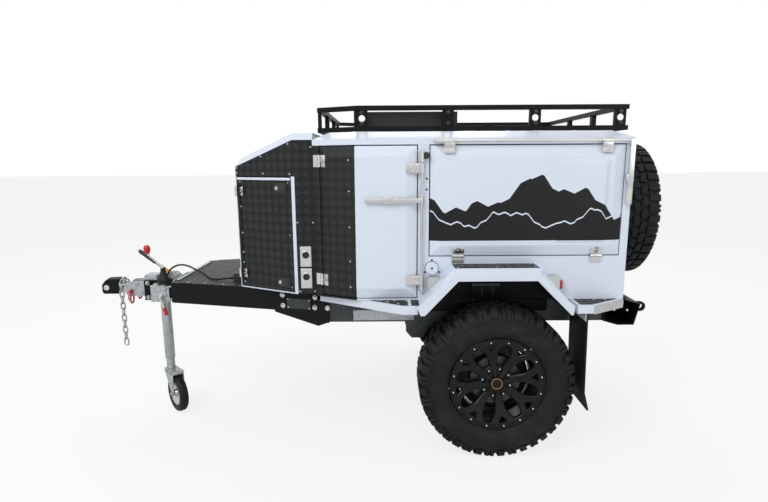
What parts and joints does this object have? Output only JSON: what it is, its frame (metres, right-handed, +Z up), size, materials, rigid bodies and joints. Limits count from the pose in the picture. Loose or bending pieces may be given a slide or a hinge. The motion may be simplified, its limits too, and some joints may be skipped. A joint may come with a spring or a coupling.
{
  "type": "off-road camping trailer",
  "caption": "Hard-shell off-road camping trailer with nose box, side doors, drop-down hatches, roof rack, spare wheel and jockey wheel.",
  "frame": {"origin": "on the ground, in the middle of the trailer's length and width", "axes": "+X towards the rear, +Y towards the trailer's right-hand side, +Z up"},
  "size_m": [3.31, 1.8006, 1.7464],
  "materials": {
    "black_paint": "satin black powder coat",
    "black_plastic": "black moulded plastic",
    "black_rubber": "black rubber",
    "bright_steel": "brushed stainless steel",
    "chequer_black": "black powder-coated chequer plate",
    "galvanised": "galvanised steel",
    "lamp_housing": "lamp housings",
    "red_paint": "red enamel",
    "spring_black": "black coated spring steel",
    "tyre_rubber": "off-road tyre rubber",
    "white_paint": "satin white powder coat"
  },
  "bodies": {
    "trailer": {"chassis_frame": "galvanised", "drawbar_frame": "black_paint", "drawbar_deck": "chequer_black", "overrun_coupling": "galvanised", "coupling_head": "black_paint", "tow_shackles": "red_paint", "safety_chain": "galvanised", "handbrake_lever": "galvanised", "jockey_clamp": "galvanised", "jockey_tube": "galvanised", "trailing_arms": "black_paint", "coil_springs": "spring_black", "body_shell": "white_paint", "roof_panel": "white_paint", "nose_box": "chequer_black", "nose_lid": "white_paint", "hinges": "bright_steel", "mudguards": "white_paint", "arch_liners": "black_paint", "side_sills": "white_paint", "rear_bumper": "black_paint", "mud_flaps": "black_rubber", "spare_carrier": "black_paint", "spare_rim": "black_paint", "spare_tyre": "tyre_rubber", "roof_rack": "black_paint", "rack_box": "black_plastic", "body_fittings": "bright_steel", "marker_lamps": "lamp_housing", "tail_lamps": "lamp_housing", "dampers": "spring_black", "step_treads": "chequer_black", "sill_strips": "bright_steel", "junction_box": "black_plastic", "lead_cord": "black_rubber"},
    "wheel_left": {"wheel_tyre_left": "tyre_rubber", "wheel_rim_left": "black_paint", "brake_drum_left": "black_paint"},
    "wheel_right": {"wheel_tyre_right": "tyre_rubber", "wheel_rim_right": "black_paint", "brake_drum_right": "black_paint"},
    "jockey_castor": {"jockey_fork": "galvanised"},
    "jockey_wheel": {"jockey_rim": "galvanised", "jockey_tyre": "black_rubber"},
    "side_door_left_leaf": {"side_door_left": "white_paint", "side_door_lock_left": "bright_steel"},
    "hatch_left_leaf": {"hatch_left": "white_paint", "hatch_lock_left": "bright_steel"},
    "nose_door_left_leaf": {"nose_door_left": "chequer_black"},
    "side_door_right_leaf": {"side_door_right": "white_paint", "side_door_lock_right": "bright_steel"},
    "hatch_right_leaf": {"hatch_right": "white_paint", "hatch_lock_right": "bright_steel"},
    "nose_door_right_leaf": {"nose_door_right": "chequer_black"}
  },
  "joints": [
    {"name": "wheel_spin_left", "type": "hinge", "parent": "trailer", "child": "wheel_left", "pos_m": [0.68, -0.736, 0.388], "axis": [0, 1, 0], "continuous": true},
    {"name": "side_door_swing_left", "type": "hinge", "parent": "trailer", "child": "side_door_left_leaf", "pos_m": [-0.19341, -0.67718, 0.816], "axis": [0, 0, -1], "range_deg": [0, 100]},
    {"name": "hatch_drop_left", "type": "hinge", "parent": "trailer", "child": "hatch_left_leaf", "pos_m": [0.804, -0.762, 1.0235], "axis": [1, 0, 0], "range_deg": [0, 90]},
    {"name": "nose_door_swing_left", "type": "hinge", "parent": "trailer", "child": "nose_door_left_leaf", "pos_m": [-0.65607, -0.48282, 0.822], "axis": [0, 0, -1], "range_deg": [0, 110]},
    {"name": "wheel_spin_right", "type": "hinge", "parent": "trailer", "child": "wheel_right", "pos_m": [0.68, 0.736, 0.388], "axis": [0, 1, 0], "continuous": true},
    {"name": "side_door_swing_right", "type": "hinge", "parent": "trailer", "child": "side_door_right_leaf", "pos_m": [-0.19341, 0.67718, 0.816], "axis": [0, 0, 1], "range_deg": [0, 100]},
    {"name": "hatch_drop_right", "type": "hinge", "parent": "trailer", "child": "hatch_right_leaf", "pos_m": [0.804, 0.762, 1.0235], "axis": [-1, 0, 0], "range_deg": [0, 90]},
    {"name": "nose_door_swing_right", "type": "hinge", "parent": "trailer", "child": "nose_door_right_leaf", "pos_m": [-0.65607, 0.48282, 0.822], "axis": [0, 0, 1], "range_deg": [0, 110]},
    {"name": "jockey_castor_turn", "type": "hinge", "parent": "trailer", "child": "jockey_castor", "pos_m": [-1.188, -0.215, 0.3], "axis": [0, 0, 1], "continuous": true},
    {"name": "jockey_wheel_spin", "type": "hinge", "parent": "jockey_castor", "child": "jockey_wheel", "pos_m": [-1.13447, -0.27445, 0.112], "axis": [0.7431, 0.6691, 0], "continuous": true}
  ]
}
